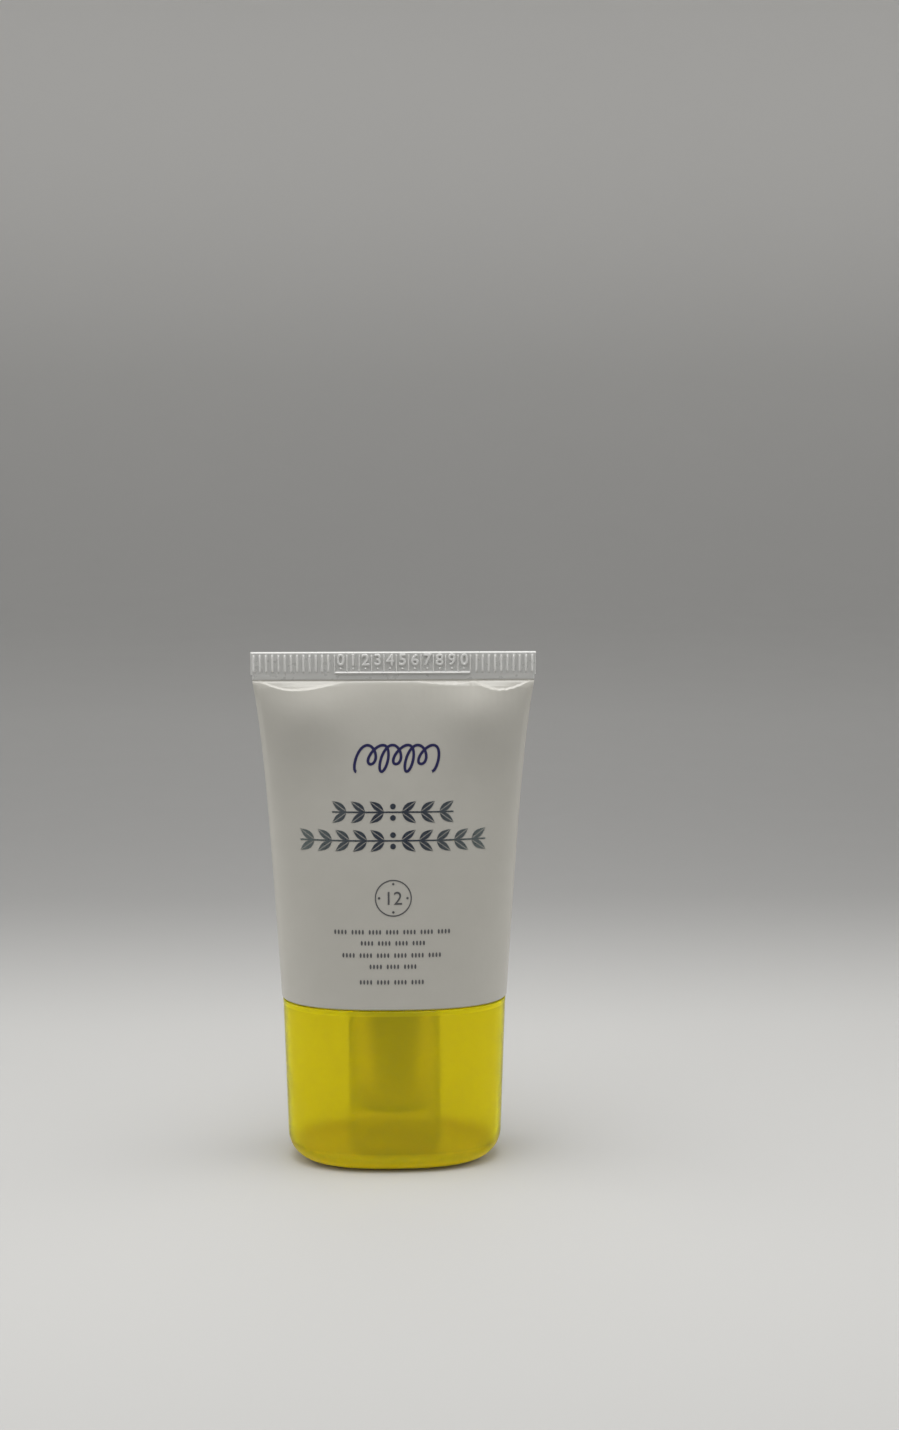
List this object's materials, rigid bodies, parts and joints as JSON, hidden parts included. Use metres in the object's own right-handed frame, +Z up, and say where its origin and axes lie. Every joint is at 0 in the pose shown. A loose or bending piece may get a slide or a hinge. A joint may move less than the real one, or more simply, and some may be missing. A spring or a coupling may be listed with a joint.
{
  "type": "squeeze tube",
  "caption": "Small oval squeeze tube that stands on its see-through cap, welded flat at the top, with a nozzle inside the cap.",
  "frame": {"origin": "middle of the cap's underside, on the surface that the tube stands on", "axes": "+Z up from the cap to the flat seal, +X along the width of the oval, printed front facing -Y"},
  "size_m": [0.046, 0.018, 0.0863],
  "materials": {
    "clear_yellow_plastic": "see-through yellow, moulded, glossy",
    "satin_white_film": "satin white film, natural at the welded end",
    "natural_plastic": "milky natural plastic",
    "cream": "soft, slightly glossy cream"
  },
  "bodies": {
    "cap": {"cap_shell": "clear_yellow_plastic", "cap_inner_sleeve": "clear_yellow_plastic"},
    "tube": {"tube_sleeve": "satin_white_film", "tube_head": "natural_plastic", "cream_fill": "cream"}
  },
  "joints": [
    {"name": "cap_pull", "type": "slide", "parent": "cap", "child": "tube", "axis": [0, 0, 1], "range_m": [0, 0.03]}
  ]
}
